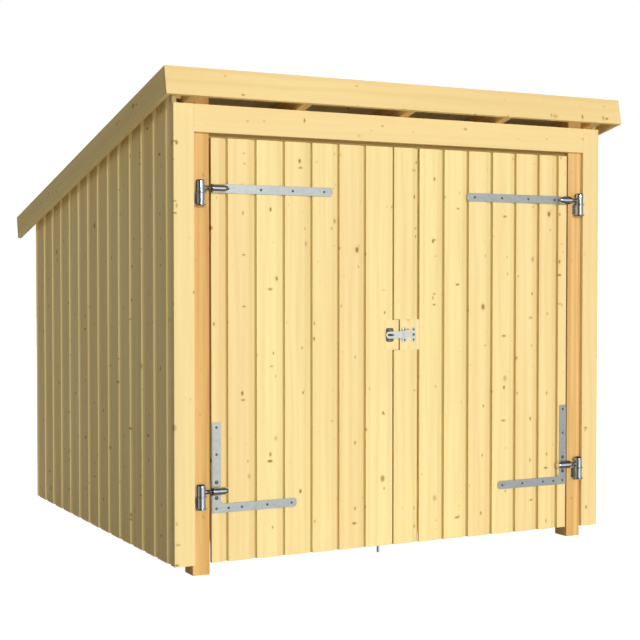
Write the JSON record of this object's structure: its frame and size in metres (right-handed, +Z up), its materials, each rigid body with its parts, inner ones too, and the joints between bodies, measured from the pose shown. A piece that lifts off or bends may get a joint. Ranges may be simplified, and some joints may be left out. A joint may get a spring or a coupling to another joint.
{
  "type": "bike shed",
  "caption": "Closed timber bike shed with a single-pitch felt roof, upright lapped cladding, and double doors on strap hinges with a hasp and a drop bolt.",
  "frame": {"origin": "on the ground under the middle of the roof's outline", "axes": "+Z up, -Y towards the door side, +X to the right when facing the doors"},
  "size_m": [2.414, 2.4588, 2.1914],
  "materials": {
    "spruce_boards": "planed untreated spruce",
    "spruce_frame": "planed spruce",
    "galvanised_steel": "hot-dip galvanised",
    "zinc_plated_steel": "bright zinc plated",
    "roofing_felt": "mineral-surfaced bitumen felt"
  },
  "bodies": {
    "shed": {"front_left_post": "spruce_frame", "front_right_post": "spruce_frame", "back_left_post": "spruce_frame", "back_right_post": "spruce_frame", "front_left_corner_board": "spruce_boards", "front_right_corner_board": "spruce_boards", "header_board": "spruce_boards", "front_beam": "spruce_frame", "back_top_plate": "spruce_frame", "left_wall_rails": "spruce_frame", "right_wall_rails": "spruce_frame", "back_wall_rails": "spruce_frame", "left_wall_cladding": "spruce_boards", "right_wall_cladding": "spruce_boards", "back_wall_cladding": "spruce_boards", "rafters": "spruce_frame", "roof_boards": "spruce_frame", "roof_felt": "roofing_felt", "front_fascia": "spruce_boards", "left_fascia": "spruce_boards", "right_fascia": "spruce_boards", "left_upper_pintle": "zinc_plated_steel", "left_lower_pintle": "zinc_plated_steel", "right_upper_pintle": "zinc_plated_steel", "right_lower_pintle": "zinc_plated_steel"},
    "left_door": {"left_door_boards": "spruce_boards", "left_door_ledges": "spruce_frame", "left_lock_block": "spruce_boards", "left_upper_eye": "zinc_plated_steel", "left_lower_eye": "zinc_plated_steel", "left_upper_strap": "galvanised_steel", "left_lower_strap": "galvanised_steel", "hasp_staple": "zinc_plated_steel", "drop_bolt_guides": "zinc_plated_steel"},
    "right_door": {"right_door_boards": "spruce_boards", "right_door_ledges": "spruce_frame", "right_lock_block": "spruce_boards", "right_upper_eye": "zinc_plated_steel", "right_lower_eye": "zinc_plated_steel", "right_upper_strap": "galvanised_steel", "right_lower_strap": "galvanised_steel", "right_lap_board": "spruce_boards", "hasp_plate": "zinc_plated_steel"},
    "hasp": {"hasp_arm": "zinc_plated_steel"},
    "drop_bolt": {"drop_bolt": "zinc_plated_steel"}
  },
  "joints": [
    {"name": "right_door_swing", "type": "hinge", "parent": "shed", "child": "right_door", "pos_m": [1.018, -1.13542, 1], "axis": [0, 0, 1], "range_deg": [0, 140]},
    {"name": "left_door_swing", "type": "hinge", "parent": "shed", "child": "left_door", "pos_m": [-1.018, -1.13542, 1], "axis": [0, 0, -1], "range_deg": [0, 140]},
    {"name": "hasp_swing", "type": "hinge", "parent": "right_door", "child": "hasp", "pos_m": [0.0055, -1.11992, 1.034], "axis": [0, 0, 1], "range_deg": [0, 150]},
    {"name": "drop_bolt_lift", "type": "slide", "parent": "left_door", "child": "drop_bolt", "axis": [0, 0, 1], "range_m": [0, 0.06]}
  ]
}
